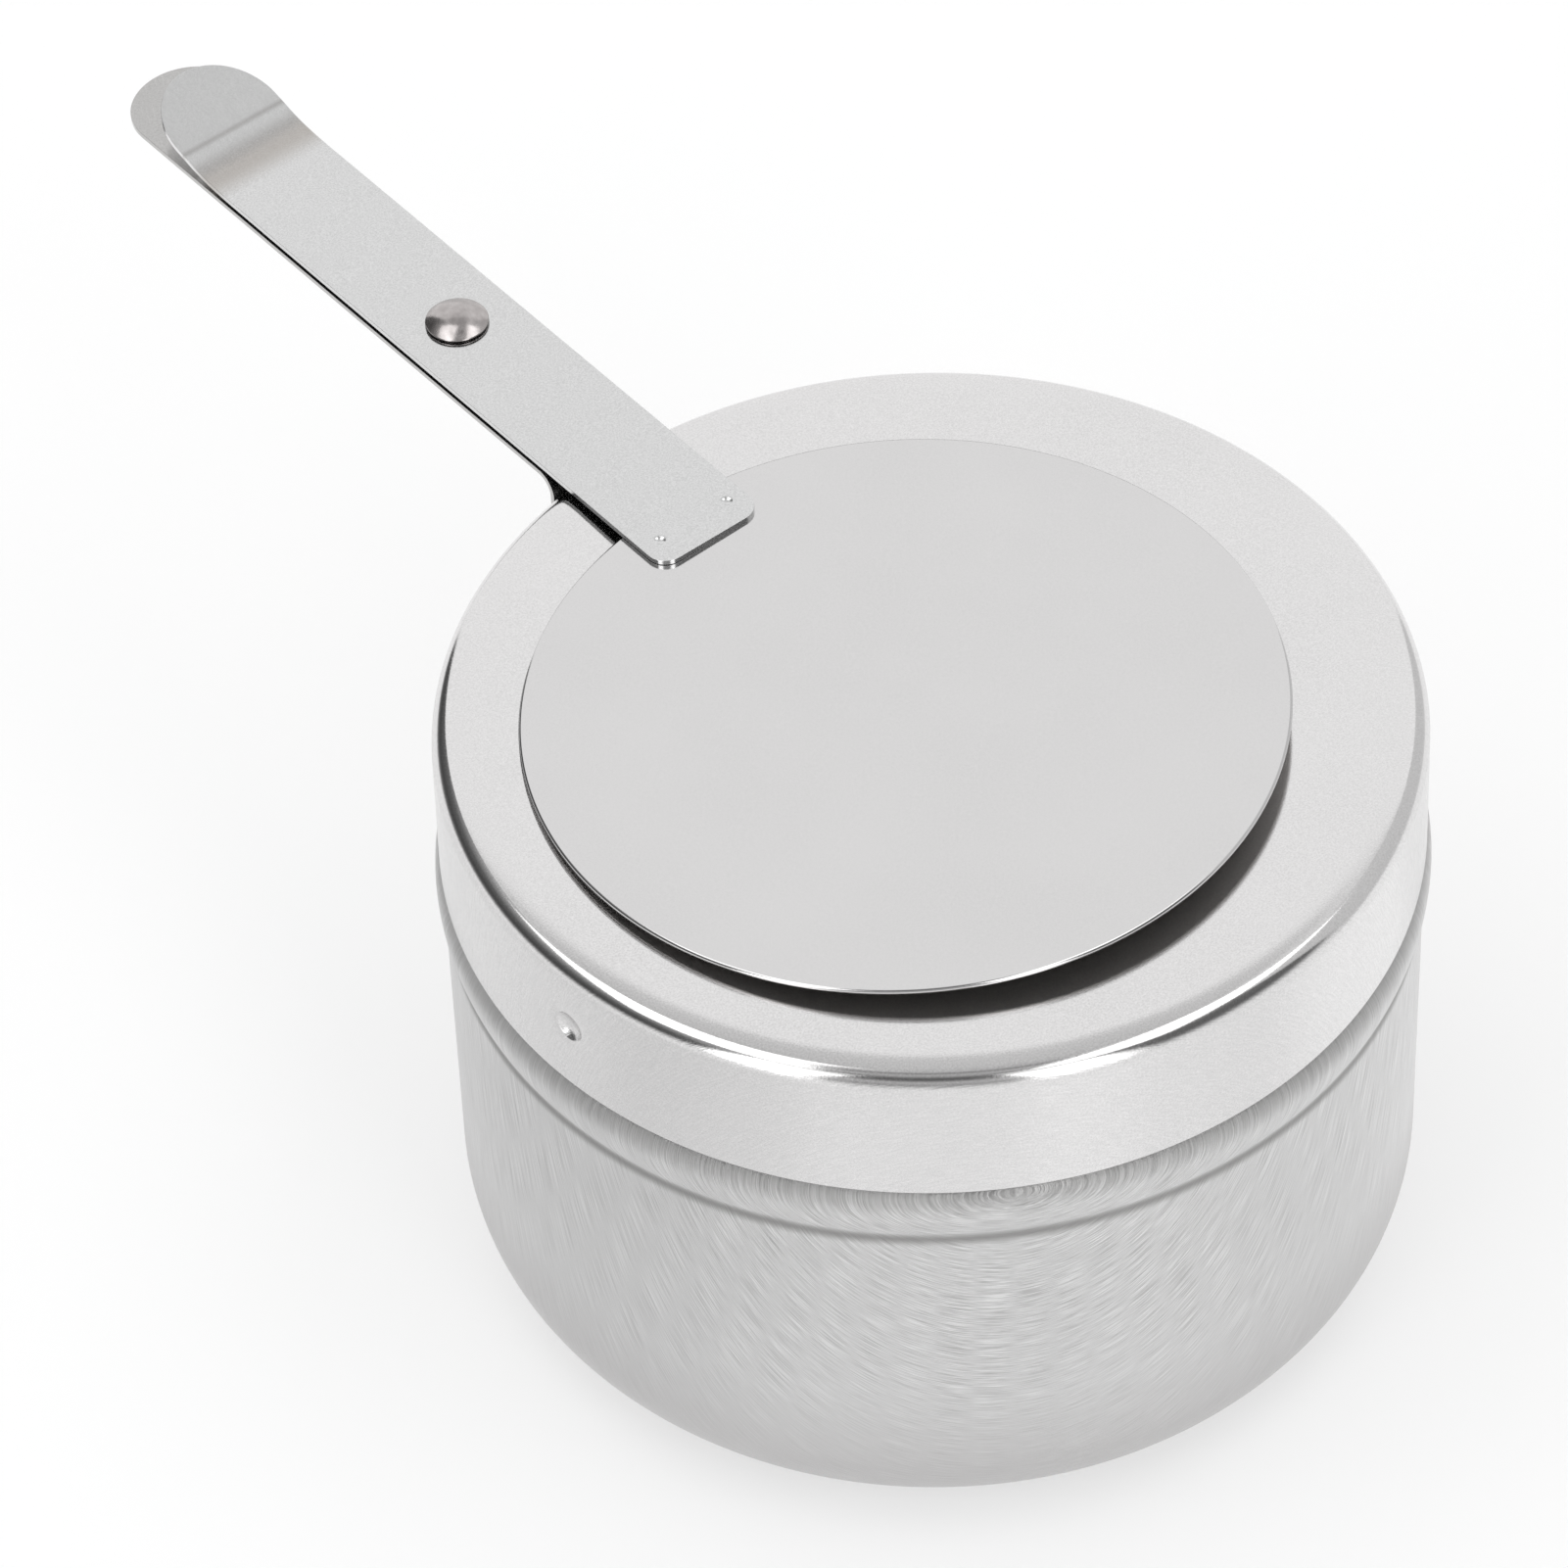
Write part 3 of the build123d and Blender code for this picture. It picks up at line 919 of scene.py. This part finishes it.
def photo_camera():
    """Camera at the photo's viewing angle, with its slight tilt."""
    pitch = radians(camera_pitch)
    tilt = radians(camera_tilt)
    away = Vector((0, cos(pitch), -sin(pitch)))
    right = Vector((1, 0, 0))
    up = Vector((0, sin(pitch), cos(pitch)))
    image_right = right * cos(tilt) + up * sin(tilt)
    image_up = up * cos(tilt) - right * sin(tilt)
    spot = -camera_distance * away - lid_right_of_view * mm * image_right
    spot -= lid_above_view * mm * image_up
    lens = bpy.data.cameras.new("photo camera")
    lens.sensor_width = sensor_width
    lens.sensor_height = sensor_width
    lens.sensor_fit = "HORIZONTAL"
    lens.lens = focal_length
    lens.clip_start = 0.05
    lens.clip_end = 20.0
    camera = bpy.data.objects.new("photo camera", lens)
    bpy.context.scene.collection.objects.link(camera)
    turn = Matrix((image_right, image_up, -away)).transposed().to_4x4()
    camera.matrix_world = camera_side @ Matrix.Translation(spot) @ turn
    bpy.context.scene.camera = camera


pale_floor()
white_surroundings()

# Two wide soft boxes hang overhead, left and right, and two tall ones stand at the front corners
soft_box("overhead box left", (-0.46, 0.08, 1.0), (-0.46, 0.08, 0), width=0.58, height=0.76,
         brightness=1.35, turn=-17.6)
soft_box("overhead box right", (0.42, 0.02, 1.0), (0.42, 0.02, 0), width=0.42, height=0.8,
         brightness=1.35)
soft_box("front box left", (-0.757, -0.958, 0.936), front_boxes_aim, width=0.46, height=1.34,
         brightness=1.4)
soft_box("front box right", (0.585, -1.075, 0.936), front_boxes_aim, width=0.42, height=1.34,
         brightness=1.42)

# The ceiling and the room round the camera, as the lid's shoulder mirrors them
card("ceiling", ceiling((-0.9, 0.6), (2.42, 1.2, 0.6, 0.2, -0.3, -0.75, -1.1)),
     ("#dbdbdb", "#cacaca", "#c2c2c2", "#909090", "#bababa", "#a8a8a8", "#848484"))
card("light ceiling right", ceiling((0.6, 3.6), (2.42, -0.9)), ("#e8e8e8", "#e8e8e8"))
card("light ceiling left", ceiling((-2.1, -0.9), (2.42, -0.9)), ("#e4e4e4", "#e4e4e4"))
card("dark side left",
     surround((124, 221), ((66, 70), (58, 64), (46, 50), (34, 38), (12, 30), (3, 24), (-2.6, 16),
                           (-2.6, 9))),
     ("#f5f5f5", "#d8d8d8", "#9c9c9c", "#676767", "#4c4c4c", "#646464", "#bebebe", "#ebebeb"))
card("dark side right",
     surround((-48, -5), ((70, 70), (60, 60), (48, 48), (32, 32), (24, 24), (14, 14), (6, 6))),
     ("#e6e6e6", "#969696", "#6e6e6e", "#686868", "#7d7d7d", "#cdcdcd", "#f0f0f0"))
card("grey wall right",
     surround((-5, 54), ((60, 60), (50, 50), (5, 5), (-2.6, -2.6))),
     ("#e8e8e8", "#d6d6d6", "#d6d6d6", "#e4e4e4"))
card("camera and stand",
     surround((-115, -73), ((70, 70), (62, 62), (55, 55), (44, 44), (37, 37), (28, 28), (21, 21),
                            (10, 10))),
     ("#848484", "#626262", "#6e6e6e", "#bbbbbb", "#b6b6b6", "#9b9b9b", "#d2d2d2", "#efefef"))

# The shine of the table, brighter before each front box, as the pot's wall mirrors it
card("table shine", table_shine((-205, -165, -150, -128, -112, -92, -70, -50, -38, -15, 15)),
     ("#e9e9e9", "#e4e4e4", "#dddddd", "#e4e4e4", "#f1f1f1", "#efefef", "#fafafa", "#f2f2f2",
      "#eeeeee", "#f9f9f9", "#f9f9f9"), strength=1.14)

photo_camera()
bpy.context.scene.view_settings.view_transform = "Standard"
